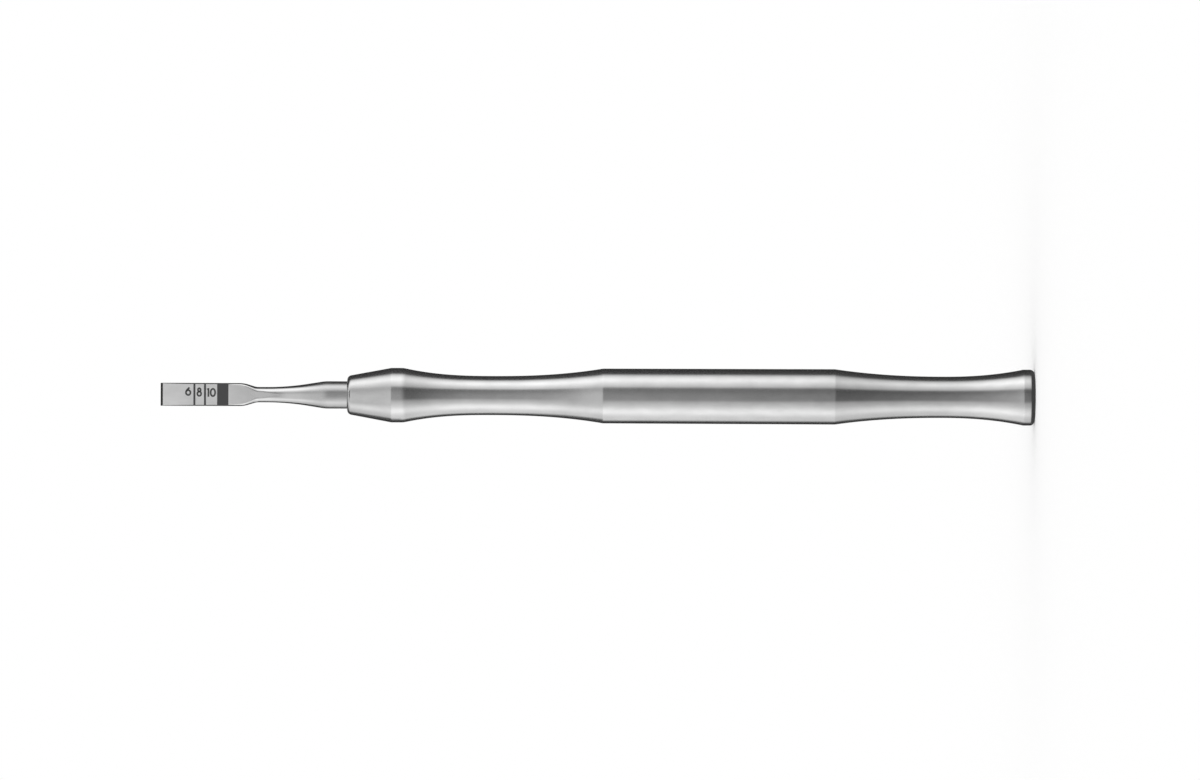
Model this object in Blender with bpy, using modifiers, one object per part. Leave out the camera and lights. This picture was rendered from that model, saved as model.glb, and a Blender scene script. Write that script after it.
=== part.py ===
"""Osteotome: a wedge-ground blade on a round neck, its tang fixed in a turned handle with two waists.

Metres. The part stands on the handle's striking face, whose centre is the origin. +Z runs up the axis to
the cutting edge, X runs across the blade, and the blade's two faces look along -Y and +Y.
"""

import math

import bmesh
import bpy

MM = 0.001

# Handle, from the striking face up
RIM_DIAMETER = 10.0 * MM
RIM_LENGTH = 2.0 * MM
RIM_ROUNDING = 0.8 * MM
REAR_WAIST_DIAMETER = 7.38 * MM
REAR_WAIST_LOWER_LENGTH = 14.4 * MM
REAR_WAIST_UPPER_LENGTH = 19.2 * MM
BARREL_REAR_DIAMETER = 9.9 * MM  # the barrel tapers very slightly to its front
BARREL_FRONT_DIAMETER = 9.8 * MM
BARREL_LENGTH = 41.4 * MM
FRONT_WAIST_DIAMETER = 6.99 * MM
FRONT_WAIST_LOWER_LENGTH = 19.8 * MM
FRONT_WAIST_UPPER_LENGTH = 15.8 * MM
BULGE_DIAMETER = 9.75 * MM
BULGE_LENGTH = 2.2 * MM
NOSE_LENGTH = 7.9 * MM
NOSE_STEP = 0.96 * MM  # how far the nose's corner, before it is rounded, stands out from the shank
NOSE_ROUNDING = 0.9 * MM

# Each side of a waist rises from its narrowest point by a power of the distance, a little over a parabola
REAR_WAIST_LOWER_POWER = 2.25
REAR_WAIST_UPPER_POWER = 2.2
FRONT_WAIST_LOWER_POWER = 2.35
FRONT_WAIST_UPPER_POWER = 2.55

# Blade, from the cutting edge down
BLADE_WIDTH = 4.1 * MM
BLADE_LENGTH = 14.9 * MM  # to where the shoulder's slope meets the line of the blade's sides
EDGE_LAND = 0.04 * MM  # thickness left at the cutting edge
EDGE_BEVEL_LENGTH = 0.40 * MM
EDGE_BEVEL_DEG = 24.0  # each side of the edge
EDGE_ROUNDING = 0.10 * MM  # along the blade's long edges
EDGE_ROUNDING_SHARE = 0.06  # of half the blade's thickness, the most that this rounding takes
NECK_EDGE_ROUNDING = 0.70 * MM  # the same edges where the neck begins, polished rounder
NECK_ROUNDING_SHARE = 0.9
EDGE_BLEND_LENGTH = 5.0 * MM  # in which the one grows into the other
EDGE_DRAFT_DEG = 28.0  # slope to which the blade's sides lean in below the edge's rounding
EDGE_DRAFT_DEPTH = 0.50 * MM
SHOULDER_SLOPE_DEG = 17.0
SHOULDER_ROUNDING = 5.0 * MM

# Neck, collar and tang
NECK_DIAMETER = 2.74 * MM
NECK_LENGTH = 1.8 * MM
NECK_ROUNDING = 3.0 * MM  # the hollow between shoulder and neck
FLARE_RADIUS = 46.5 * MM
FLARE_SLOPE_DEG = 9.0
COLLAR_DIAMETER = 4.88 * MM
COLLAR_LENGTH = 3.96 * MM  # the part that shows
COLLAR_ROUNDING = 8.0 * MM  # between flare and collar
TANG_LENGTH = 16.0 * MM
TANG_CHAMFER = 0.4 * MM

# Tang in its bore
FIT_GAP = 0.05 * MM  # all round, filled by braze
BORE_END_GAP = 0.3 * MM
DRILL_POINT_DEG = 118.0

# Fineness of the meshes
HANDLE_STEPS = 64
FLANK_SEGMENTS = 9
ROUNDING_SEGMENTS = 6
SIDE_SEGMENTS = 15  # round each side of the blade, from face to face
RING_SIDES = 2 * SIDE_SEGMENTS + 2
RING_SPACING = 0.6 * MM
FLARE_SEGMENTS = 10
SMOOTH_ANGLE_DEG = 28.0

# Heights of the handle's sections
REAR_NARROWEST = RIM_LENGTH + REAR_WAIST_LOWER_LENGTH
BARREL_BASE = REAR_NARROWEST + REAR_WAIST_UPPER_LENGTH
BARREL_TOP = BARREL_BASE + BARREL_LENGTH
FRONT_NARROWEST = BARREL_TOP + FRONT_WAIST_LOWER_LENGTH
BULGE_BASE = FRONT_NARROWEST + FRONT_WAIST_UPPER_LENGTH
BULGE_TOP = BULGE_BASE + BULGE_LENGTH
NOSE_FACE = BULGE_TOP + NOSE_LENGTH

# Depths of the working end's sections below the cutting edge
NECK_TOP = BLADE_LENGTH + (BLADE_WIDTH - NECK_DIAMETER) / 2 / math.tan(math.radians(SHOULDER_SLOPE_DEG))
NECK_END = NECK_TOP + NECK_LENGTH
FLARE_ARC_END = NECK_END + FLARE_RADIUS * math.sin(math.radians(FLARE_SLOPE_DEG))
FLARE_ARC_RADIUS = NECK_DIAMETER / 2 + FLARE_RADIUS * (1 - math.cos(math.radians(FLARE_SLOPE_DEG)))
FLARE_CONE_LENGTH = (COLLAR_DIAMETER / 2 - FLARE_ARC_RADIUS) / math.tan(math.radians(FLARE_SLOPE_DEG))
COLLAR_START = FLARE_ARC_END + FLARE_CONE_LENGTH
NOSE_DEPTH = COLLAR_START + COLLAR_LENGTH
TANG_END = NOSE_DEPTH + TANG_LENGTH
CUTTING_EDGE = NOSE_FACE + NOSE_DEPTH
BEVEL_THICKNESS = EDGE_LAND / 2 + math.tan(math.radians(EDGE_BEVEL_DEG)) * EDGE_BEVEL_LENGTH


def clear_scene():
    for obj in list(bpy.data.objects):
        bpy.data.objects.remove(obj)


def steel(name, colour, roughness):
    material = bpy.data.materials.new(name)
    material.use_nodes = True
    shader = material.node_tree.nodes["Principled BSDF"]
    shader.inputs["Base Color"].default_value = (*colour, 1.0)
    shader.inputs["Metallic"].default_value = 1.0
    shader.inputs["Roughness"].default_value = roughness
    return material


def rounded_corner(before, corner, after, rounding):
    """Points of the arc that rounds a corner of a profile, tangent to the lines on both its sides."""
    back = math.atan2(before[1] - corner[1], before[0] - corner[0])
    ahead = math.atan2(after[1] - corner[1], after[0] - corner[0])
    half_opening = math.remainder(ahead - back, 2 * math.pi) / 2
    middle = back + half_opening
    to_centre = rounding / math.sin(abs(half_opening))
    centre = (corner[0] + to_centre * math.cos(middle), corner[1] + to_centre * math.sin(middle))
    half_turn = math.pi / 2 - abs(half_opening)
    side = math.copysign(1.0, half_opening)
    points = []
    for i in range(ROUNDING_SEGMENTS + 1):
        angle = middle + math.pi + side * half_turn * (1 - 2 * i / ROUNDING_SEGMENTS)
        points.append((centre[0] + rounding * math.cos(angle), centre[1] + rounding * math.sin(angle)))
    return points


def flank(narrowest, end, power):
    """Points of one side of a waist after its narrowest point, each a radius and a height."""
    points = []
    for i in range(1, FLANK_SEGMENTS + 1):
        share = i / FLANK_SEGMENTS
        radius = narrowest[0] + (end[0] - narrowest[0]) * share**power
        height = narrowest[1] + (end[1] - narrowest[1]) * share
        points.append((radius, height))
    return points


def waist(foot, narrowest, head, lower_power, upper_power):
    lower = flank(narrowest, foot, lower_power)
    upper = flank(narrowest, head, upper_power)
    return lower[::-1] + [narrowest] + upper


def nose_profile(bore_radius):
    """The nose's cone, its rounded corner and its face, from the bulge to the mouth of the bore."""
    bulge = (BULGE_DIAMETER / 2, BULGE_TOP)
    corner = (COLLAR_DIAMETER / 2 + NOSE_STEP, NOSE_FACE)
    mouth = (bore_radius, NOSE_FACE)
    cone_turn = math.atan2(bulge[0] - corner[0], NOSE_LENGTH)
    face_width = corner[0] - mouth[0]
    widest_rounding = face_width / math.tan((math.pi / 2 - cone_turn) / 2)
    rounding = min(NOSE_ROUNDING, 0.95 * widest_rounding)
    return [bulge] + rounded_corner(bulge, corner, mouth, rounding) + [mouth]


def handle_profile():
    """The handle's half section, from the centre of the striking face round to the bore's bottom."""
    striking_centre = (0.0, 0.0)
    rim_corner = (RIM_DIAMETER / 2, 0.0)
    rim_end = (RIM_DIAMETER / 2, RIM_LENGTH)
    barrel_base = (BARREL_REAR_DIAMETER / 2, BARREL_BASE)
    barrel_top = (BARREL_FRONT_DIAMETER / 2, BARREL_TOP)
    bulge_base = (BULGE_DIAMETER / 2, BULGE_BASE)
    rear_narrowest = (REAR_WAIST_DIAMETER / 2, REAR_NARROWEST)
    front_narrowest = (FRONT_WAIST_DIAMETER / 2, FRONT_NARROWEST)
    bore_radius = COLLAR_DIAMETER / 2 + FIT_GAP
    bore_end = NOSE_FACE - TANG_LENGTH - BORE_END_GAP
    drill_point = bore_end - bore_radius / math.tan(math.radians(DRILL_POINT_DEG / 2))

    profile = [striking_centre]
    profile += rounded_corner(striking_centre, rim_corner, rim_end, RIM_ROUNDING)
    profile += waist(rim_end, rear_narrowest, barrel_base, REAR_WAIST_LOWER_POWER, REAR_WAIST_UPPER_POWER)
    profile += waist(barrel_top, front_narrowest, bulge_base, FRONT_WAIST_LOWER_POWER, FRONT_WAIST_UPPER_POWER)
    profile += nose_profile(bore_radius)
    profile += [(bore_radius, bore_end), (0.0, drill_point)]
    return profile


def shade(mesh, breaks):
    """Smooth shading that stops at real corners and at the rings of edges at the heights in breaks."""
    mesh.shade_smooth()
    mesh.set_sharp_from_angle(angle=math.radians(SMOOTH_ANGLE_DEG))
    for edge in mesh.edges:
        heights = [mesh.vertices[index].co.z for index in edge.vertices]
        level = abs(heights[0] - heights[1]) < 0.001 * MM
        if level and any(abs(heights[0] - height) < 0.001 * MM for height in breaks):
            edge.use_edge_sharp = True


def add_object(name, mesh, material, collection):
    mesh.materials.clear()
    mesh.materials.append(material)
    obj = bpy.data.objects.new(name, mesh)
    collection.objects.link(obj)
    return obj


def make_handle(material, collection):
    """The handle, turned by a Screw from a profile that starts in the bore and runs down the outside."""
    profile = handle_profile()[::-1]
    outline = bpy.data.meshes.new("handle_outline")
    points = [(radius, 0.0, height) for radius, height in profile]
    outline.from_pydata(points, [(i, i + 1) for i in range(len(points) - 1)], [])
    guide = bpy.data.objects.new("handle_outline", outline)
    collection.objects.link(guide)
    screw = guide.modifiers.new("turn", "SCREW")
    screw.steps = HANDLE_STEPS
    screw.render_steps = HANDLE_STEPS
    screw.use_merge_vertices = True
    screw.merge_threshold = 0.0001 * MM
    graph = bpy.context.evaluated_depsgraph_get()
    mesh = bpy.data.meshes.new_from_object(guide.evaluated_get(graph))
    mesh.name = "handle"
    bpy.data.objects.remove(guide)
    shade(mesh, (RIM_LENGTH, BARREL_BASE, BARREL_TOP, BULGE_BASE, BULGE_TOP))
    return add_object("handle", mesh, material, collection)


def blank_profile():
    """The working end before grinding: radii and depths, from the cutting edge to the tang's end."""
    blade_radius = BLADE_WIDTH / 2
    neck_radius = NECK_DIAMETER / 2
    collar_radius = COLLAR_DIAMETER / 2
    blade_start = (blade_radius, 0.0)
    shoulder = (blade_radius, BLADE_LENGTH)
    neck_top = (neck_radius, NECK_TOP)
    neck_end = (neck_radius, NECK_END)

    profile = [blade_start, (blade_radius, EDGE_BEVEL_LENGTH)]
    profile += rounded_corner(blade_start, shoulder, neck_top, SHOULDER_ROUNDING)
    profile += rounded_corner(shoulder, neck_top, neck_end, NECK_ROUNDING)
    for i in range(FLARE_SEGMENTS + 1):
        turn = math.radians(FLARE_SLOPE_DEG) * i / FLARE_SEGMENTS
        radius = neck_radius + FLARE_RADIUS * (1 - math.cos(turn))
        profile.append((radius, NECK_END + FLARE_RADIUS * math.sin(turn)))
    collar_corner = (collar_radius, COLLAR_START)
    tang_corner = (collar_radius, TANG_END - TANG_CHAMFER)
    profile += rounded_corner(profile[-1], collar_corner, tang_corner, COLLAR_ROUNDING)
    profile += [tang_corner, (collar_radius - TANG_CHAMFER, TANG_END)]
    return profile


def face_taper():
    """Slope of each ground face to the axis: from the bevel it runs out tangent to the flare."""
    across = NECK_DIAMETER / 2 + FLARE_RADIUS - BEVEL_THICKNESS
    along = NECK_END - EDGE_BEVEL_LENGTH
    return math.acos(FLARE_RADIUS / math.hypot(across, along)) - math.atan2(along, across)


def ground_depth():
    """Depth at which the ground faces run out. Nothing beyond it is ground."""
    return NECK_END + FLARE_RADIUS * math.sin(face_taper())


def half_thickness(depth):
    """Half the distance between the two ground faces at this depth below the cutting edge."""
    bevel = math.tan(math.radians(EDGE_BEVEL_DEG)) * min(depth, EDGE_BEVEL_LENGTH)
    taper = math.tan(face_taper()) * max(depth - EDGE_BEVEL_LENGTH, 0.0)
    return EDGE_LAND / 2 + bevel + taper


def edge_rounding(depth):
    """Radius along the blade's long edges, never more than its thickness has room for."""
    share = min(max((depth - (NECK_TOP - EDGE_BLEND_LENGTH)) / EDGE_BLEND_LENGTH, 0.0), 1.0)
    wanted = EDGE_ROUNDING + (NECK_EDGE_ROUNDING - EDGE_ROUNDING) * share
    most = EDGE_ROUNDING_SHARE + (NECK_ROUNDING_SHARE - EDGE_ROUNDING_SHARE) * share
    return min(wanted, most * half_thickness(depth))


def edge_draft(radius, thickness, height):
    """How far a side lies inside the blank's arc at this height over the middle plane."""
    own_slope = math.asin(min(thickness / radius, 1.0))
    slope = math.tan(max(math.radians(EDGE_DRAFT_DEG) - own_slope, 0.0))
    return slope * max(height - max(thickness - EDGE_DRAFT_DEPTH, 0.0), 0.0)


def round_side(radius):
    """One side of a full round section, between the two short facets that carry the faces on."""
    points = []
    for i in range(SIDE_SEGMENTS + 1):
        angle = math.pi / 2 - (2 * i + 1) * math.pi / RING_SIDES
        points.append((radius * math.cos(angle), radius * math.sin(angle)))
    return points


def ground_side(radius, thickness, rounding):
    """One side of a section with both faces ground: the blank's arc, drawn in and rounded at both ends."""
    centre_x = math.sqrt((radius - rounding) ** 2 - (thickness - rounding) ** 2)
    centre_y = thickness - rounding
    meeting = math.atan2(centre_y, centre_x)
    rounding_run = rounding * (math.pi / 2 - meeting)
    half_run = rounding_run + radius * meeting
    points = []
    for i in range(SIDE_SEGMENTS + 1):
        run = 2 * half_run * i / SIDE_SEGMENTS
        up = 1.0 if run < half_run else -1.0
        run = min(run, 2 * half_run - run)
        if run < rounding_run:
            angle = math.pi / 2 - run / rounding
            x = centre_x + rounding * math.cos(angle)
            y = centre_y + rounding * math.sin(angle)
        else:
            angle = meeting - (run - rounding_run) / radius
            x = radius * math.cos(angle)
            y = radius * math.sin(angle)
        points.append((x - edge_draft(radius, thickness, y), up * y))
    return points


def section(radius, depth):
    """The ring of points at this depth: down the side at +X, then up the side at -X."""
    thickness = half_thickness(depth)
    if depth < ground_depth() and thickness < radius * math.cos(math.pi / RING_SIDES):
        side = ground_side(radius, thickness, edge_rounding(depth))
    else:
        side = round_side(radius)
    return side + [(-x, -y) for x, y in side]


def with_rings_between(profile, last_depth):
    """The profile with its stretches split to RING_SPACING as far as the grinding reaches."""
    spaced = [profile[0]]
    for start, end in zip(profile, profile[1:]):
        run = end[1] - start[1]
        pieces = math.ceil(run / RING_SPACING) if start[1] < last_depth else 1
        for i in range(1, pieces + 1):
            share = i / pieces
            spaced.append((start[0] + (end[0] - start[0]) * share, start[1] + run * share))
    return spaced


def make_working_end(material, collection):
    """Blade, neck, collar and tang: a loft from the thin cutting edge through the round neck to the tang."""
    build = bmesh.new()
    rings = []
    for radius, depth in with_rings_between(blank_profile(), ground_depth()):
        height = CUTTING_EDGE - depth
        rings.append([build.verts.new((x, y, height)) for x, y in section(radius, depth)])
    for upper, lower in zip(rings, rings[1:]):
        for i in range(RING_SIDES):
            j = (i + 1) % RING_SIDES
            build.faces.new((upper[i], upper[j], lower[j], lower[i]))
    build.faces.new(rings[0])
    build.faces.new(rings[-1])
    bmesh.ops.recalc_face_normals(build, faces=build.faces)
    mesh = bpy.data.meshes.new("working_end")
    build.to_mesh(mesh)
    build.free()
    shade(mesh, (CUTTING_EDGE - EDGE_BEVEL_LENGTH,))
    return add_object("working_end", mesh, material, collection)


def main():
    clear_scene()
    osteotome = bpy.data.collections.new("Osteotome")
    bpy.context.scene.collection.children.link(osteotome)
    make_handle(steel("handle_steel", (0.60, 0.60, 0.60), 0.24), osteotome)
    make_working_end(steel("blade_steel", (0.64, 0.64, 0.64), 0.20), osteotome)


main()
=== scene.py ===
"""Looks of the osteotome: finely turned and ground steel, laser depth marks, and the studio it stands in.

Metres, in the part's own frame: it stands on its striking face, whose centre is the origin, +Z runs up
the axis to the cutting edge, X runs across the blade, and the numbered face looks along -Y, where the
camera is. In the picture +X is up and -Z is to the right.
"""

import math
from collections import namedtuple

import bmesh
import bpy
from mathutils import Matrix, Vector


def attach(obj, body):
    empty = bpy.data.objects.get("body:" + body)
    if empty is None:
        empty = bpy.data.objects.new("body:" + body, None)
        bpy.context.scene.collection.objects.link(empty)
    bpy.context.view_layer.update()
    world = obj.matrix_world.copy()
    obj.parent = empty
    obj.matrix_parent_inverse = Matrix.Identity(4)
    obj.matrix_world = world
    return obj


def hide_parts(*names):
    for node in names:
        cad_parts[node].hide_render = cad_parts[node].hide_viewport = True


MM = 0.001

# Handle, in heights above the striking face
RIM_RADIUS = 5.0 * MM
RIM_TOP = 2.0 * MM
RIM_ROUNDING = 0.8 * MM
REAR_WAIST_RADIUS = 3.69 * MM
REAR_NARROWEST = 16.4 * MM
BARREL_REAR_RADIUS = 4.95 * MM
BARREL_FRONT_RADIUS = 4.9 * MM
BARREL_BASE = 35.6 * MM
BARREL_TOP = 77.0 * MM
FRONT_WAIST_RADIUS = 3.495 * MM
FRONT_NARROWEST = 96.8 * MM
BULGE_RADIUS = 4.875 * MM
BULGE_BASE = 112.6 * MM
BULGE_TOP = 114.8 * MM
NOSE_FACE = 122.7 * MM
NOSE_CORNER_RADIUS = 3.4 * MM
NOSE_ROUNDING = 0.9 * MM
BORE_RADIUS = 2.49 * MM
BORE_END = 106.4 * MM
DRILL_POINT_DEG = 118.0

# One side of a waist, from its narrowest ring to its wide end, and the power by which its radius grows
Flank = namedtuple("Flank", ["narrow_radius", "narrow_height", "end_radius", "end_height", "power"])
REAR_LOWER = Flank(REAR_WAIST_RADIUS, REAR_NARROWEST, RIM_RADIUS, RIM_TOP, power=2.25)
REAR_UPPER = Flank(REAR_WAIST_RADIUS, REAR_NARROWEST, BARREL_REAR_RADIUS, BARREL_BASE, power=2.2)
FRONT_LOWER = Flank(FRONT_WAIST_RADIUS, FRONT_NARROWEST, BARREL_FRONT_RADIUS, BARREL_TOP, power=2.35)
FRONT_UPPER = Flank(FRONT_WAIST_RADIUS, FRONT_NARROWEST, BULGE_RADIUS, BULGE_BASE, power=2.55)

# How far the polish has softened each turned corner, to either side of it
SOFTENED = (
    (RIM_TOP, 0.12 * MM),
    (BARREL_BASE, 0.15 * MM),
    (BARREL_TOP, 0.15 * MM),
    (BULGE_BASE, 0.5 * MM),
    (BULGE_TOP, 0.15 * MM),
)

# Working end, in depths below the cutting edge
CUTTING_EDGE = 155.9995 * MM
BLADE_RADIUS = 2.05 * MM
BLADE_LENGTH = 14.9 * MM
EDGE_LAND = 0.04 * MM
EDGE_BEVEL_LENGTH = 0.40 * MM
EDGE_BEVEL_DEG = 24.0
EDGE_ROUNDING = 0.10 * MM
EDGE_ROUNDING_SHARE = 0.06
NECK_EDGE_ROUNDING = 0.7 * MM
NECK_ROUNDING_SHARE = 0.9
EDGE_BLEND_LENGTH = 5.0 * MM
EDGE_DRAFT_DEG = 28.0
EDGE_DRAFT_DEPTH = 0.5 * MM
SHOULDER_SLOPE_DEG = 17.0
SHOULDER_ROUNDING = 5.0 * MM
NECK_RADIUS = 1.37 * MM
NECK_LENGTH = 1.8 * MM
NECK_ROUNDING = 3.0 * MM
FLARE_RADIUS = 46.5 * MM
FLARE_SLOPE_DEG = 9.0
COLLAR_RADIUS = 2.44 * MM
COLLAR_LENGTH = 3.96 * MM
COLLAR_ROUNDING = 8.0 * MM
TANG_LENGTH = 16.0 * MM
TANG_CHAMFER = 0.4 * MM
NECK_TOP = BLADE_LENGTH + (BLADE_RADIUS - NECK_RADIUS) / math.tan(math.radians(SHOULDER_SLOPE_DEG))
NECK_END = NECK_TOP + NECK_LENGTH
BEVEL_THICKNESS = EDGE_LAND / 2 + math.tan(math.radians(EDGE_BEVEL_DEG)) * EDGE_BEVEL_LENGTH

# Laser marks, in depths below the cutting edge: the lines at 6 and 8 and the band from 10 to 12, and the
# closed ribbons that the numerals are made of
LINES = ((5.87 * MM, 6.23 * MM), (7.77 * MM, 8.13 * MM), (10.12 * MM, 12.14 * MM))
STROKE_WIDTH = 0.32 * MM
STROKE_PROUD = 0.004 * MM
STROKE_SUNK = 0.02 * MM
RIBBON_CORNERS = ((1, STROKE_PROUD), (-1, STROKE_PROUD), (-1, -STROKE_SUNK), (1, -STROKE_SUNK))

# Fineness of the meshes. FLAT_POINTS lie across a flat, in shares of its half width. On a round ring they
# lie on a short arc instead, and a flat too narrow for NARROWEST_HALF_FLAT_DEG isn't made
HANDLE_SIDES = 192
HANDLE_RING_SPACING = 0.4 * MM
FEWEST_RINGS = 2
SOFTENED_CORNER_RINGS = 6
STRIKING_FACE_RINGS = (1.4 * MM, 2.8 * MM, 3.9 * MM)
WORKING_END_RING_SPACING = 0.25 * MM
ROUNDING_SEGMENTS = 12
FLARE_SEGMENTS = 24
SIDE_SEGMENTS = 48
FLAT_POINTS = (-0.985, -0.9, -0.6, -0.2, 0.2, 0.6, 0.9, 0.985)
HALF_FLAT_OF_ROUND_DEG = 7.5
NARROWEST_HALF_FLAT_DEG = 4.5
SMOOTH_ANGLE_DEG = 28.0
LEVEL_TOLERANCE = 0.001 * MM
NUMERAL_SEGMENTS = 28
STAGE_SEGMENTS = 96

# Grain of the steel: noise waves to the metre along X, Y and Z, the grain's share beside the clouds, and
# how far both raise the surface
TURNED_GRAIN = (90.0, 90.0, 9000.0)
GROUND_GRAIN = (7000.0, 7000.0, 160.0)
PATCHES = (550.0, 550.0, 270.0)
CLOUDS = 900.0
GRAIN_SHARE = 0.6
GRAIN_HEIGHT = 0.0004 * MM

# Colour and roughness of the steel where the grain is lowest and where it is highest, and how far the
# patches tint it
TURNED_GREY = (0.585, 0.645)
TURNED_ROUGHNESS = (0.17, 0.24)
GROUND_GREY = (0.60, 0.66)
GROUND_ROUGHNESS = (0.10, 0.18)
PATCH_TINT = (0.87, 1.13)

# The blade is ground fresher towards its edge, its two faces are satin and its bevel is honed. A point is
# on a face as the Y part of its normal goes from the first to the second of FACE_SQUARE
FRESH_AT_SHOULDER = 0.4
FRESH_BRIGHTER = 0.28
FACE_SQUARE = (0.95, 0.99)
FACE_ROUGHER = 0.31
FACE_LESS_METALLIC = 0.18
BEVEL_SMOOTHER = 0.5

# The collar is brushed across below one height, and the flare is polished again above the other
BRUSHED_BELOW = 126.5 * MM
POLISHED_ABOVE = 131.0 * MM
BRUSHED_DARKER = 0.15
BRUSHED_ROUGHER = 0.17

# What the laser leaves: burnt lines in the steel, and the oxide of the numerals
BURNT_COLOUR = (0.05, 0.05, 0.052, 1.0)
BURNT_ROUGHER = 0.32
OXIDE_SPECKS = 9000.0
OXIDE_GREY = (0.04, 0.065)
OXIDE_ROUGHNESS = (0.38, 0.5)

# Camera: the photograph's frame, 5.6 pixels to the millimetre at the axis
CAMERA_DISTANCE = 1.4
CAMERA_HEIGHT = 77.55 * MM
CAMERA_OFFSET = 1.062 * MM
CAMERA_ROLL_DEG = 0.226
CAMERA_NEAR = 0.1
CAMERA_FAR = 20.0
LENS_MM = 235.2
SENSOR_MM = 36.0

# White surroundings, and the floor just below the striking face
WHITE = (1.0, 1.0, 1.0, 1.0)
FLOOR_RADIUS = 3.0
FLOOR_DROP = 0.01 * MM

# Painted shade in the steel: a dark card just under the striking face, fading out towards its edge
PAINTED_SHADE_CARD_DROP = 0.05 * MM
PAINTED_SHADE_CARD_DARK_RADIUS = 6.8 * MM
PAINTED_SHADE_CARD_RADIUS = 10.0 * MM
PAINTED_SHADE_CARD_GREY = 0.08

# Studio tent, which the steel mirrors. A panel's brightness is its grey over the turn times its grey over
# the rise, each in stops of (degrees, grey). The turn goes round the axis from the camera's side, positive
# towards -X, and the rise is above the middle of the part
TENT_RADIUS = 0.58
TENT_STRENGTH = 1.65
Panel = namedtuple("Panel", ["turn", "rise"])

# Long soft box on the +X side, which is the upper one in the picture
UPPER_BOX = Panel(
    turn=(
        (-105.5, 0.0), (-99, 0.41), (-90, 0.71), (-82, 0.88), (-75, 0.97), (-70, 1.0), (-66, 0.96),
        (-54, 0.75), (-48, 0.655), (-39, 0.53), (-33.5, 0.0),
    ),
    rise=(
        (-90, 0.4), (-50, 0.5), (-20, 0.57), (-16, 0.605), (-12, 0.675), (-8, 0.765), (-4, 0.86),
        (0, 0.915), (4, 1.0), (9, 1.0), (16, 0.92), (26, 0.90), (90, 0.7),
    ),
)

# Long soft box on the -X side, the lower one in the picture
LOWER_BOX = Panel(
    turn=(
        (18, 0.0), (23, 0.38), (30, 0.44), (42, 0.55), (48, 0.62), (54, 0.72), (60, 0.80), (68, 0.87),
        (75, 0.87), (84, 0.76), (96, 0.64), (108, 0.61), (121, 0.60), (130, 0.0),
    ),
    rise=(
        (-90, 0.5), (-50, 0.7), (-20, 0.75), (-12, 0.77), (-8, 0.84), (-4, 0.95), (4, 1.0), (7, 0.97),
        (10, 0.84), (16, 0.77), (26, 0.78), (90, 0.6),
    ),
)

# Flag that shades the lower box's rear edge over a short stretch
FLAG = Panel(
    turn=((111, 0.0), (123, 1.0), (140, 1.0), (150, 0.0)),
    rise=((3.5, 0.0), (6.5, 1.0), (20, 1.0), (25, 0.0)),
)

# Grey card between the two boxes, in front of the part. High up it has a dark gap, which the bevel mirrors
FRONT_CARD = Panel(
    turn=(
        (-39, 0.0), (-34, 0.50), (-24, 0.58), (-12, 0.76), (0, 0.89), (12, 0.93), (18, 0.92), (23, 0.0),
    ),
    rise=(
        (-90, 0.14), (-40, 0.18), (-30, 0.09), (-22, 0.086), (-16, 0.114), (-12, 0.141), (-8, 0.173),
        (-4, 0.214), (0, 0.25), (4, 0.285), (8, 0.29), (12, 0.31), (44, 0.36), (47, 0.02), (60, 0.02),
        (63, 0.36), (90, 0.36),
    ),
)

# Panel across the front, from a little above the part's middle upwards, with the same gap
HIGH_PANEL = Panel(
    turn=(
        (-62, 0.0), (-48, 1.0), (-42, 0.95), (-33, 0.80), (-24, 0.78), (-15, 0.88), (0, 1.0), (48, 1.0),
        (62, 0.0),
    ),
    rise=(
        (11.5, 0.0), (14, 0.46), (17, 0.52), (19.5, 0.48), (21.5, 0.45), (25, 0.43), (28, 0.50),
        (44, 0.48), (47, 0.02), (60, 0.02), (63, 0.45), (90, 0.41),
    ),
)

# Dim surroundings behind the part, alike at every rise, with a brighter strip straight behind it
SURROUNDINGS = (
    (-174, 0.42), (-162, 0.02), (-130, 0.035), (-120, 0.04), (-106, 0.04), (-99, 0.0), (-36, 0.0),
    (121, 0.0), (131, 0.06), (138, 0.03), (150, 0.02), (162, 0.02), (174, 0.42),
)


def rounded_corner(before, corner, after, rounding):
    """Points of the arc that rounds a corner of a profile, tangent to the lines on both its sides."""
    back = math.atan2(before[1] - corner[1], before[0] - corner[0])
    ahead = math.atan2(after[1] - corner[1], after[0] - corner[0])
    half_opening = math.remainder(ahead - back, 2 * math.pi) / 2
    middle = back + half_opening
    to_centre = rounding / math.sin(abs(half_opening))
    centre = (corner[0] + to_centre * math.cos(middle), corner[1] + to_centre * math.sin(middle))
    half_turn = math.pi / 2 - abs(half_opening)
    side = math.copysign(1.0, half_opening)
    points = []
    for i in range(ROUNDING_SEGMENTS + 1):
        angle = middle + math.pi + side * half_turn * (1 - 2 * i / ROUNDING_SEGMENTS)
        points.append((centre[0] + rounding * math.cos(angle), centre[1] + rounding * math.sin(angle)))
    return points


def flank_radius(flank, height):
    """Radius of a waist's side at this height."""
    share = (height - flank.narrow_height) / (flank.end_height - flank.narrow_height)
    return flank.narrow_radius + (flank.end_radius - flank.narrow_radius) * max(share, 0.0) ** flank.power


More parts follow.
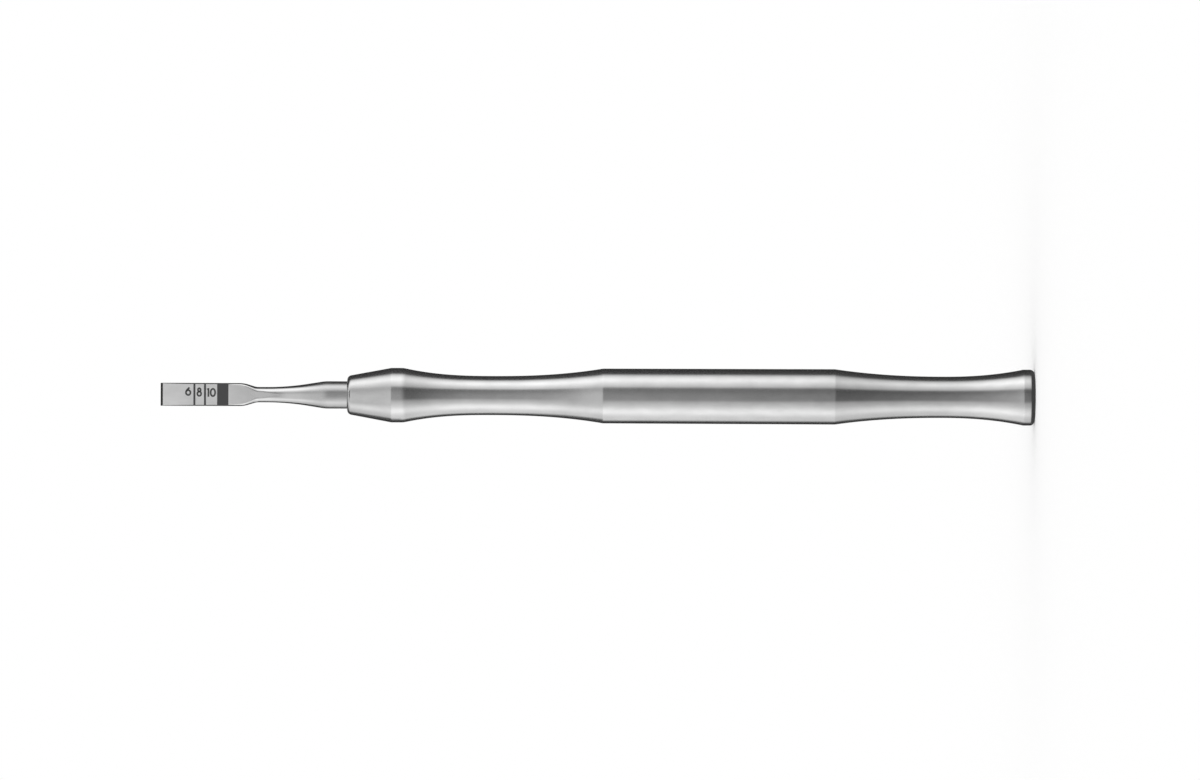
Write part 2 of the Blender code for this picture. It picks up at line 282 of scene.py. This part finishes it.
def turned_radius(height):
    """Radius of the handle between its two rounded ends, before its corners are softened."""
    if height < RIM_TOP:
        return RIM_RADIUS
    if height < REAR_NARROWEST:
        return flank_radius(REAR_LOWER, height)
    if height < BARREL_BASE:
        return flank_radius(REAR_UPPER, height)
    if height < BARREL_TOP:
        share = (height - BARREL_BASE) / (BARREL_TOP - BARREL_BASE)
        return BARREL_REAR_RADIUS + (BARREL_FRONT_RADIUS - BARREL_REAR_RADIUS) * share
    if height < FRONT_NARROWEST:
        return flank_radius(FRONT_LOWER, height)
    if height < BULGE_BASE:
        return flank_radius(FRONT_UPPER, height)
    if height < BULGE_TOP:
        return BULGE_RADIUS
    share = (height - BULGE_TOP) / (NOSE_FACE - BULGE_TOP)
    return BULGE_RADIUS + (NOSE_CORNER_RADIUS - BULGE_RADIUS) * share


def softened_radius(height):
    """Radius of the handle with each corner drawn over by a short curve, tangent to both its sides."""
    for corner, reach in SOFTENED:
        if abs(height - corner) < reach:
            share = (height - corner + reach) / (2 * reach)
            before = turned_radius(corner - reach)
            after = turned_radius(corner + reach)
            middle = turned_radius(corner)
            return (1 - share) ** 2 * before + 2 * share * (1 - share) * middle + share**2 * after
    return turned_radius(height)


def turned_heights(start, end):
    """Heights of the rings from start to end: evenly spaced, and closer across each softened corner."""
    heights = []
    stops = [start]
    for corner, reach in SOFTENED:
        stops += [corner - reach, corner + reach]
    stops.append(end)
    for i, (low, high) in enumerate(zip(stops, stops[1:])):
        crosses_corner = i % 2 == 1
        if crosses_corner:
            pieces = SOFTENED_CORNER_RINGS
        else:
            pieces = max(FEWEST_RINGS, math.ceil((high - low) / HANDLE_RING_SPACING))
        for j in range(pieces):
            heights.append(low + (high - low) * j / pieces)
    return heights + [end]


def handle_profile():
    """The handle's half section, from the centre of the striking face round to the bore's bottom."""
    rim = rounded_corner((0.0, 0.0), (RIM_RADIUS, 0.0), (RIM_RADIUS, RIM_TOP), RIM_ROUNDING)
    nose_corner = (NOSE_CORNER_RADIUS, NOSE_FACE)
    nose = rounded_corner((BULGE_RADIUS, BULGE_TOP), nose_corner, (BORE_RADIUS, NOSE_FACE), NOSE_ROUNDING)
    heights = turned_heights(rim[-1][1], nose[0][1])
    drill_point = BORE_RADIUS / math.tan(math.radians(DRILL_POINT_DEG / 2))
    profile = [(0.0, 0.0)]
    profile += [(radius, 0.0) for radius in STRIKING_FACE_RINGS]
    profile += rim
    profile += [(softened_radius(height), height) for height in heights[1:-1]]
    profile += nose
    profile += [(BORE_RADIUS, NOSE_FACE), (BORE_RADIUS, BORE_END), (0.0, BORE_END - drill_point)]
    return profile


def smooth_mesh(build, name, breaks=()):
    """A mesh from bmesh, smooth but for real corners and the rings at the heights in breaks."""
    bmesh.ops.recalc_face_normals(build, faces=build.faces)
    mesh = bpy.data.meshes.new(name)
    build.to_mesh(mesh)
    build.free()
    mesh.shade_smooth()
    mesh.set_sharp_from_angle(angle=math.radians(SMOOTH_ANGLE_DEG))
    for edge in mesh.edges:
        start, end = (mesh.vertices[index].co.z for index in edge.vertices)
        level = abs(start - end) < LEVEL_TOLERANCE
        if level and any(abs(start - height) < LEVEL_TOLERANCE for height in breaks):
            edge.use_edge_sharp = True
    return mesh


def add_piece(name, mesh, material, replaced=None):
    """A piece of the osteotome with its finish, which hides the solid that it stands for, if any."""
    mesh.materials.append(material)
    piece = bpy.data.objects.new(name, mesh)
    bpy.context.scene.collection.objects.link(piece)
    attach(piece, "root")
    if replaced:
        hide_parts(replaced)


def join_rings(build, rings):
    """Faces between each ring of points and the next."""
    for upper, lower in zip(rings, rings[1:]):
        for i in range(len(upper)):
            j = (i + 1) % len(upper)
            build.faces.new((upper[i], upper[j], lower[j], lower[i]))


def make_handle(material):
    build = bmesh.new()
    profile = handle_profile()
    rings = []
    for radius, height in profile[1:-1]:
        ring = []
        for i in range(HANDLE_SIDES):
            turn = 2 * math.pi * i / HANDLE_SIDES
            ring.append(build.verts.new((radius * math.cos(turn), radius * math.sin(turn), height)))
        rings.append(ring)
    join_rings(build, rings)
    for tip, ring in ((profile[0], rings[0]), (profile[-1], rings[-1])):
        centre = build.verts.new((0.0, 0.0, tip[1]))
        for i in range(HANDLE_SIDES):
            build.faces.new((ring[i], ring[(i + 1) % HANDLE_SIDES], centre))
    add_piece("turned_handle", smooth_mesh(build, "turned_handle"), material, "handle")


def face_taper():
    """Slope of each ground face to the axis: from the bevel it runs out tangent to the flare."""
    across = NECK_RADIUS + FLARE_RADIUS - BEVEL_THICKNESS
    along = NECK_END - EDGE_BEVEL_LENGTH
    return math.acos(FLARE_RADIUS / math.hypot(across, along)) - math.atan2(along, across)


def ground_depth():
    """Depth at which the ground faces run out. Nothing beyond it is ground."""
    return NECK_END + FLARE_RADIUS * math.sin(face_taper())


def half_thickness(depth):
    """Half the distance between the two ground faces at this depth below the cutting edge."""
    bevel = math.tan(math.radians(EDGE_BEVEL_DEG)) * min(depth, EDGE_BEVEL_LENGTH)
    taper = math.tan(face_taper()) * max(depth - EDGE_BEVEL_LENGTH, 0.0)
    return EDGE_LAND / 2 + bevel + taper


def edge_rounding(depth):
    """Radius along the blade's long edges, never more than its thickness has room for."""
    share = min(max((depth - (NECK_TOP - EDGE_BLEND_LENGTH)) / EDGE_BLEND_LENGTH, 0.0), 1.0)
    wanted = EDGE_ROUNDING + (NECK_EDGE_ROUNDING - EDGE_ROUNDING) * share
    most = EDGE_ROUNDING_SHARE + (NECK_ROUNDING_SHARE - EDGE_ROUNDING_SHARE) * share
    return min(wanted, most * half_thickness(depth))


def edge_draft(radius, thickness, height):
    """How far a side lies inside the blank at this height over the middle: its edge is drawn in."""
    own_slope = math.asin(min(thickness / radius, 1.0))
    slope = math.tan(max(math.radians(EDGE_DRAFT_DEG) - own_slope, 0.0))
    return slope * max(height - max(thickness - EDGE_DRAFT_DEPTH, 0.0), 0.0)


def ground_side(radius, thickness, rounding):
    """One side of a section with both faces ground: a rounding, the blank's arc, a rounding."""
    centre_x = math.sqrt(max((radius - rounding) ** 2 - (thickness - rounding) ** 2, 0.0))
    centre_y = thickness - rounding
    meeting = math.atan2(centre_y, centre_x)
    rounding_run = rounding * (math.pi / 2 - meeting)
    half_run = rounding_run + radius * meeting
    points = []
    for i in range(SIDE_SEGMENTS + 1):
        run = 2 * half_run * i / SIDE_SEGMENTS
        up = 1.0 if run < half_run else -1.0
        run = min(run, 2 * half_run - run)
        if run < rounding_run:
            angle = math.pi / 2 - run / rounding
            x = centre_x + rounding * math.cos(angle)
            y = centre_y + rounding * math.sin(angle)
        else:
            angle = meeting - (run - rounding_run) / radius
            x = radius * math.cos(angle)
            y = radius * math.sin(angle)
        points.append((x - edge_draft(radius, thickness, y), up * y))
    return points


def with_other_half(half):
    """The whole ring of a section from its half: the other half is the same, turned half round."""
    return half + [(-x, -y) for x, y in half]


def round_ring(radius):
    """A full round section with as many points as a ground one, and the flats' points close together."""
    half_flat = math.radians(HALF_FLAT_OF_ROUND_DEG)
    half = []
    for i in range(SIDE_SEGMENTS + 1):
        angle = math.pi / 2 - half_flat - (math.pi - 2 * half_flat) * i / SIDE_SEGMENTS
        half.append((radius * math.cos(angle), radius * math.sin(angle)))
    for share in FLAT_POINTS:
        angle = -math.pi / 2 - half_flat * share
        half.append((radius * math.cos(angle), radius * math.sin(angle)))
    return with_other_half(half)


def section(radius, depth):
    """The ring of points at this depth: down the side at +X, across the face at -Y, and back round."""
    thickness = half_thickness(depth)
    thickest = radius * math.cos(math.radians(NARROWEST_HALF_FLAT_DEG))
    if depth >= ground_depth() or thickness > thickest:
        return round_ring(radius)
    side = ground_side(radius, thickness, edge_rounding(depth))
    flat = [(-share * side[-1][0], -thickness) for share in FLAT_POINTS]
    return with_other_half(side + flat)


def blank_profile():
    """The working end before its faces are ground: radii and depths, from the edge to the tang's end."""
    blade_start = (BLADE_RADIUS, 0.0)
    shoulder = (BLADE_RADIUS, BLADE_LENGTH)
    neck_top = (NECK_RADIUS, NECK_TOP)
    neck_end = (NECK_RADIUS, NECK_END)
    profile = [blade_start, (BLADE_RADIUS, EDGE_BEVEL_LENGTH)]
    profile += rounded_corner(blade_start, shoulder, neck_top, SHOULDER_ROUNDING)
    profile += rounded_corner(shoulder, neck_top, neck_end, NECK_ROUNDING)
    for i in range(FLARE_SEGMENTS + 1):
        turn = math.radians(FLARE_SLOPE_DEG) * i / FLARE_SEGMENTS
        radius = NECK_RADIUS + FLARE_RADIUS * (1 - math.cos(turn))
        profile.append((radius, NECK_END + FLARE_RADIUS * math.sin(turn)))
    flare_end = profile[-1]
    collar_start = flare_end[1] + (COLLAR_RADIUS - flare_end[0]) / math.tan(math.radians(FLARE_SLOPE_DEG))
    tang_end = collar_start + COLLAR_LENGTH + TANG_LENGTH
    collar_corner = (COLLAR_RADIUS, collar_start)
    tang_corner = (COLLAR_RADIUS, tang_end - TANG_CHAMFER)
    profile += rounded_corner(flare_end, collar_corner, tang_corner, COLLAR_ROUNDING)
    profile += [tang_corner, (COLLAR_RADIUS - TANG_CHAMFER, tang_end)]
    return profile


def with_rings_between(profile, spacing):
    """The profile with its stretches split to about the spacing."""
    spaced = [profile[0]]
    for start, end in zip(profile, profile[1:]):
        run = end[1] - start[1]
        pieces = max(1, math.ceil(run / spacing))
        for i in range(1, pieces + 1):
            share = i / pieces
            spaced.append((start[0] + (end[0] - start[0]) * share, start[1] + run * share))
    return spaced


def make_working_end(material):
    build = bmesh.new()
    rings = []
    for radius, depth in with_rings_between(blank_profile(), WORKING_END_RING_SPACING):
        height = CUTTING_EDGE - depth
        rings.append([build.verts.new((x, y, height)) for x, y in section(radius, depth)])
    join_rings(build, rings)
    build.faces.new(rings[0])
    build.faces.new(rings[-1])
    mesh = smooth_mesh(build, "ground_working_end", breaks=(CUTTING_EDGE - EDGE_BEVEL_LENGTH,))
    add_piece("ground_working_end", mesh, material, "working_end")


def loop(centre, radius, stretch):
    """A closed stroke of a numeral, in millimetres: a circle, stretched upwards."""
    points = []
    for i in range(NUMERAL_SEGMENTS):
        angle = 2 * math.pi * i / NUMERAL_SEGMENTS
        across = centre[0] + radius * math.cos(angle)
        up = centre[1] + stretch * radius * math.sin(angle)
        points.append((across, up))
    return (points, True)


def line(*points):
    """An open stroke of a numeral, in millimetres."""
    return (points, False)


def numeral_strokes():
    """Each numeral's strokes: depth below the cutting edge and height in the picture, in millimetres."""
    return {
        "mark_6": (
            loop((4.94, 0.32), 0.40, stretch=1.08),
            line((4.55, 0.42), (4.66, 0.71), (4.90, 0.98), (5.18, 1.22)),
        ),
        "mark_8": (
            loop((6.92, 0.80), 0.23, stretch=1.30),
            loop((6.92, 0.12), 0.34, stretch=1.12),
        ),
        "mark_10": (
            line((8.31, 0.90), (8.56, 1.12), (8.56, -0.42)),
            loop((9.36, 0.35), 0.405, stretch=1.6),
        ),
    }


def add_stroke(build, path, closed):
    """One stroke of a numeral, laid into the blade's tapered face: a closed ribbon of even width."""
    rows = []
    count = len(path)
    for i, (across, up) in enumerate(path):
        before = path[(i - 1) % count] if closed or i > 0 else path[i]
        after = path[(i + 1) % count] if closed or i < count - 1 else path[i]
        run = Vector((after[0] - before[0], after[1] - before[1])).normalized()
        row = []
        for side, lift in RIBBON_CORNERS:
            depth = across * MM - side * run.y * STROKE_WIDTH / 2
            x = up * MM + side * run.x * STROKE_WIDTH / 2
            row.append(build.verts.new((x, -half_thickness(depth) - lift, CUTTING_EDGE - depth)))
        rows.append(row)
    if closed:
        rows.append(rows[0])
    join_rings(build, rows)
    if not closed:
        build.faces.new(rows[0])
        build.faces.new(rows[-1])


def make_numerals(material):
    for name, strokes in numeral_strokes().items():
        build = bmesh.new()
        for path, closed in strokes:
            add_stroke(build, path, closed)
        add_piece(name, smooth_mesh(build, name), material)


class Tree:
    """Short ways to lay out a material's nodes."""

    # Sockets of a Mix node that mixes colours, by number, because its other sockets have the same names
    MIX_FACTOR = 0
    MIX_FIRST = 6
    MIX_SECOND = 7
    MIX_RESULT = 2

    def __init__(self, name):
        self.material = bpy.data.materials.new(name)
        self.material.use_nodes = True
        self.nodes = self.material.node_tree.nodes
        self.links = self.material.node_tree.links
        self.shader = self.nodes["Principled BSDF"]

    def node(self, kind, inputs=None, **settings):
        """A new node. Each of its inputs is a value of its own or a socket to link it to."""
        node = self.nodes.new(kind)
        for key, value in settings.items():
            setattr(node, key, value)
        for key, value in (inputs or {}).items():
            self.put(value, node.inputs[key])
        return node

    def put(self, value, socket):
        """Link a socket to this one, or set its value."""
        if isinstance(value, bpy.types.NodeSocket):
            self.links.new(value, socket)
        else:
            socket.default_value = value

    def replace_shader(self, shader):
        """Show this shader in place of the Principled BSDF."""
        self.nodes.remove(self.shader)
        self.links.new(shader, self.nodes["Material Output"].inputs["Surface"])

    def place(self):
        """The point of the surface, in metres."""
        return self.node("ShaderNodeTexCoord").outputs["Object"]

    def facing(self):
        """Where the surface looks, in the object's own axes."""
        return self.node("ShaderNodeTexCoord").outputs["Normal"]

    def parts(self, vector):
        """A vector's parts, by "X", "Y" and "Z"."""
        return self.node("ShaderNodeSeparateXYZ", {"Vector": vector}).outputs

    def vector_math(self, operation, vector):
        return self.node("ShaderNodeVectorMath", {0: vector}, operation=operation).outputs

    def stretched(self, vector, scale):
        """The point with each axis scaled. Noise is drawn out along the axis with the smallest scale."""
        return self.node("ShaderNodeMapping", {"Vector": vector, "Scale": scale}).outputs["Vector"]

    def noise(self, vector, scale, detail, roughness=0.5):
        inputs = {"Vector": vector, "Scale": scale, "Detail": detail, "Roughness": roughness}
        return self.node("ShaderNodeTexNoise", inputs).outputs["Fac"]

    def math(self, operation, *values):
        return self.node("ShaderNodeMath", dict(enumerate(values)), operation=operation).outputs[0]

    def product(self, first, *others):
        for other in others:
            first = self.math("MULTIPLY", first, other)
        return first

    def spread(self, value, low, high):
        """A value from 0 to 1 spread over low to high."""
        return self.math("MULTIPLY_ADD", value, high - low, low)

    def added(self, value, where, amount):
        """The value, with the amount added where the mask is 1."""
        return self.math("MULTIPLY_ADD", where, amount, value)

    def scaled(self, value, where, change):
        """The value, changed by this share of itself where the mask is 1."""
        return self.product(value, self.math("MULTIPLY_ADD", where, change, 1.0))

    def without(self, where):
        """The rest of a mask: 1 where it is 0, and 0 where it is 1."""
        return self.math("SUBTRACT", 1.0, where)

    def fade_in(self, value, start, end):
        """A mask that is 0 up to the start, 1 from the end on, and even between them."""
        inputs = {"Value": value, "From Min": start, "From Max": end}
        return self.node("ShaderNodeMapRange", inputs).outputs["Result"]

    def between(self, value, low, high):
        """1 where the value lies between low and high, and 0 elsewhere."""
        above = self.math("GREATER_THAN", value, low)
        below = self.math("LESS_THAN", value, high)
        return self.product(above, below)

    def ramp(self, value, stops, low, high):
        """A grey scale over low to high, through stops of (place, grey)."""
        share = self.math("DIVIDE", self.math("SUBTRACT", value, low), high - low)
        node = self.node("ShaderNodeValToRGB", {"Fac": share})
        elements = node.color_ramp.elements
        while len(elements) < len(stops):
            elements.new(0.5)
        for element, (place, grey) in zip(elements, stops):
            element.position = (place - low) / (high - low)
            element.color = (grey, grey, grey, 1.0)
        return node.outputs["Color"]

    def grey(self, value):
        inputs = {"Red": value, "Green": value, "Blue": value}
        return self.node("ShaderNodeCombineColor", inputs).outputs["Color"]

    def mix(self, factor, first, second):
        """A colour between first and second."""
        inputs = {self.MIX_FACTOR: factor, self.MIX_FIRST: first, self.MIX_SECOND: second}
        return self.node("ShaderNodeMix", inputs, data_type="RGBA").outputs[self.MIX_RESULT]


def steel_finish(tree, grain, grey, roughness):
    """Tint and gloss of a steel whose grain is a stretched noise, which lightly roughens its form too."""
    place = tree.place()
    fine = tree.noise(tree.stretched(place, grain), 1.0, detail=4.0, roughness=0.6)
    cloud = tree.noise(place, CLOUDS, detail=3.0)
    patch = tree.noise(tree.stretched(place, PATCHES), 1.0, detail=2.0)
    mixed = tree.math("ADD", tree.product(fine, GRAIN_SHARE), tree.product(cloud, 1.0 - GRAIN_SHARE))
    tint = tree.product(tree.spread(mixed, *grey), tree.spread(patch, *PATCH_TINT))
    gloss = tree.spread(mixed, *roughness)
    bump = tree.node("ShaderNodeBump", {"Height": mixed, "Distance": GRAIN_HEIGHT, "Strength": 1.0})
    tree.put(bump.outputs["Normal"], tree.shader.inputs["Normal"])
    return tint, gloss


def turned_steel():
    """Lathe-turned and satin polished: fine lines round the axis, faint clouds and soft patches."""
    tree = Tree("turned_steel")
    tint, gloss = steel_finish(tree, TURNED_GRAIN, TURNED_GREY, TURNED_ROUGHNESS)
    tree.put(tree.grey(tint), tree.shader.inputs["Base Color"])
    tree.put(gloss, tree.shader.inputs["Roughness"])
    tree.put(1.0, tree.shader.inputs["Metallic"])
    return tree.material


def ground_steel():
    """Finely ground along its length, with the depth lines burnt dark and dull right round the blade."""
    tree = Tree("ground_steel")
    tint, gloss = steel_finish(tree, GROUND_GRAIN, GROUND_GREY, GROUND_ROUGHNESS)
    height = tree.parts(tree.place())["Z"]
    neck = CUTTING_EDGE - NECK_TOP
    shoulder = CUTTING_EDGE - BLADE_LENGTH

    fresh_stops = ((neck, 0.0), (shoulder, FRESH_AT_SHOULDER), (CUTTING_EDGE, 1.0))
    fresh = tree.ramp(height, fresh_stops, neck, CUTTING_EDGE)
    brushed = tree.fade_in(height, POLISHED_ABOVE, BRUSHED_BELOW)
    honed = tree.math("GREATER_THAN", height, CUTTING_EDGE - EDGE_BEVEL_LENGTH)
    burnt = 0.0
    for start, end in LINES:
        mark = tree.between(height, CUTTING_EDGE - end, CUTTING_EDGE - start)
        burnt = tree.math("MAXIMUM", burnt, mark)
    squareness = tree.math("ABSOLUTE", tree.parts(tree.facing())["Y"])
    flat = tree.fade_in(squareness, *FACE_SQUARE)
    blade = tree.fade_in(height, neck, shoulder)
    face = tree.product(flat, blade, tree.without(honed))

    tint = tree.scaled(tint, fresh, FRESH_BRIGHTER)
    tint = tree.scaled(tint, brushed, -BRUSHED_DARKER)
    tree.put(tree.mix(burnt, tree.grey(tint), BURNT_COLOUR), tree.shader.inputs["Base Color"])

    gloss = tree.scaled(gloss, honed, -BEVEL_SMOOTHER)
    gloss = tree.added(gloss, brushed, BRUSHED_ROUGHER)
    gloss = tree.added(gloss, face, FACE_ROUGHER)
    tree.put(tree.added(gloss, burnt, BURNT_ROUGHER), tree.shader.inputs["Roughness"])

    metal = tree.scaled(tree.without(burnt), face, -FACE_LESS_METALLIC)
    tree.put(metal, tree.shader.inputs["Metallic"])
    return tree.material


def laser_mark():
    """The dark oxide that the laser leaves, a little uneven."""
    tree = Tree("laser_mark")
    speck = tree.noise(tree.place(), OXIDE_SPECKS, detail=2.0)
    tree.put(tree.grey(tree.spread(speck, *OXIDE_GREY)), tree.shader.inputs["Base Color"])
    tree.put(tree.spread(speck, *OXIDE_ROUGHNESS), tree.shader.inputs["Roughness"])
    return tree.material


def tent_material():
    """What the steel mirrors: the tent's panels, and the dim surroundings between and behind them."""
    tree = Tree("tent")
    away = tree.parts(tree.vector_math("NORMALIZE", tree.place())["Vector"])
    to_side = tree.product(away["X"], -1.0)
    to_front = tree.product(away["Y"], -1.0)
    turn = tree.math("DEGREES", tree.math("ARCTAN2", to_side, to_front))
    rise = tree.math("DEGREES", tree.math("ARCSINE", away["Z"]))

    def over_turn(stops):
        return tree.ramp(turn, stops, -180, 180)

    def shine(panel):
        return tree.product(over_turn(panel.turn), tree.ramp(rise, panel.rise, -90, 90))

    lower = tree.product(shine(LOWER_BOX), tree.without(shine(FLAG)))
    boxes = tree.math("ADD", shine(UPPER_BOX), lower)
    rest = tree.math("ADD", shine(FRONT_CARD), over_turn(SURROUNDINGS))
    lit = tree.math("MAXIMUM", tree.math("ADD", boxes, rest), shine(HIGH_PANEL))
    glow = tree.node("ShaderNodeEmission", {"Color": lit, "Strength": TENT_STRENGTH})
    tree.replace_shader(glow.outputs["Emission"])
    return tree.material


def painted_shade_card_material():
    """Painted shade that the steel mirrors at its base: dark in the middle, and clear at the card's edge.
    """
    tree = Tree("painted_shade_card")
    reach = tree.vector_math("LENGTH", tree.place())["Value"]
    stops = ((0.0, 1.0), (PAINTED_SHADE_CARD_DARK_RADIUS, 1.0), (PAINTED_SHADE_CARD_RADIUS, 0.0))
    shade = tree.ramp(reach, stops, 0.0, PAINTED_SHADE_CARD_RADIUS)
    clear = tree.node("ShaderNodeBsdfTransparent").outputs["BSDF"]
    dark = tree.node("ShaderNodeEmission", {"Strength": PAINTED_SHADE_CARD_GREY}).outputs["Emission"]
    tree.replace_shader(tree.node("ShaderNodeMixShader", {0: shade, 1: clear, 2: dark}).outputs["Shader"])
    return tree.material


def floor_material():
    """Plain white without gloss."""
    tree = Tree("floor")
    tree.put(WHITE, tree.shader.inputs["Base Color"])
    tree.put(1.0, tree.shader.inputs["Roughness"])
    tree.put(0.0, tree.shader.inputs["Specular IOR Level"])
    return tree.material


def add_stage(name, build, height, material):
    """An object of the studio, which isn't part of the osteotome."""
    shown = bpy.data.objects.new(name, smooth_mesh(build, name))
    bpy.context.scene.collection.objects.link(shown)
    shown.location = (0.0, 0.0, height)
    shown.data.materials.append(material)
    return shown


def only_mirrored(shown):
    """Leave an object of the studio to the steel's reflections alone."""
    shown.visible_camera = False
    shown.visible_diffuse = False
    shown.visible_shadow = False
    shown.visible_volume_scatter = False
    shown.active_material.cycles.emission_sampling = "NONE"


def make_floor():
    build = bmesh.new()
    bmesh.ops.create_circle(build, cap_ends=True, segments=STAGE_SEGMENTS, radius=FLOOR_RADIUS)
    floor = add_stage("floor", build, -FLOOR_DROP, floor_material())
    floor.visible_glossy = False
    floor.visible_shadow = False


def make_tent():
    build = bmesh.new()
    bmesh.ops.create_uvsphere(
        build, u_segments=STAGE_SEGMENTS, v_segments=STAGE_SEGMENTS // 2, radius=TENT_RADIUS
    )
    only_mirrored(add_stage("tent", build, CAMERA_HEIGHT, tent_material()))


# A dark card seen only in the steel's reflections: painted shade round the base of the handle
def make_painted_shade_card():
    build = bmesh.new()
    bmesh.ops.create_circle(build, cap_ends=True, segments=STAGE_SEGMENTS, radius=PAINTED_SHADE_CARD_RADIUS)
    only_mirrored(add_stage("painted_shade_card", build, -PAINTED_SHADE_CARD_DROP, painted_shade_card_material()))


def make_world():
    """White all round, which lights the floor and is the picture's background."""
    world = bpy.data.worlds.new("studio")
    world.use_nodes = True
    background = world.node_tree.nodes["Background"]
    background.inputs["Color"].default_value = WHITE
    background.inputs["Strength"].default_value = 1.0
    bpy.context.scene.world = world


def make_camera():
    """In front of the part, level with its middle, and rolled so that the cutting edge is to the left."""
    data = bpy.data.cameras.new("camera")
    data.lens = LENS_MM
    data.sensor_width = SENSOR_MM
    data.clip_start = CAMERA_NEAR
    data.clip_end = CAMERA_FAR
    camera = bpy.data.objects.new("camera", data)
    bpy.context.scene.collection.objects.link(camera)
    roll = math.radians(CAMERA_ROLL_DEG)
    right = Vector((math.sin(roll), 0.0, -math.cos(roll)))
    up = Vector((math.cos(roll), 0.0, math.sin(roll)))
    back = Vector((0.0, -1.0, 0.0))
    turned = Matrix((right, up, back)).transposed().to_4x4()
    camera.matrix_world = Matrix.Translation((CAMERA_OFFSET, -CAMERA_DISTANCE, CAMERA_HEIGHT)) @ turned
    bpy.context.scene.camera = camera


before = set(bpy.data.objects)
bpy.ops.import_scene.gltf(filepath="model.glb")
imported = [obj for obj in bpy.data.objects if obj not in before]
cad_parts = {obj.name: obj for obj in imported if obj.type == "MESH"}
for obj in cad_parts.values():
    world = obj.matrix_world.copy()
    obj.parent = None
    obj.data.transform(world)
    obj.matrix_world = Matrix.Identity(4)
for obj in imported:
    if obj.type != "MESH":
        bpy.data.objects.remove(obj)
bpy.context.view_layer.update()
bpy.context.scene.view_settings.view_transform = "Standard"
make_handle(turned_steel())
make_working_end(ground_steel())
make_numerals(laser_mark())
make_world()
make_floor()
make_tent()
make_painted_shade_card()
make_camera()
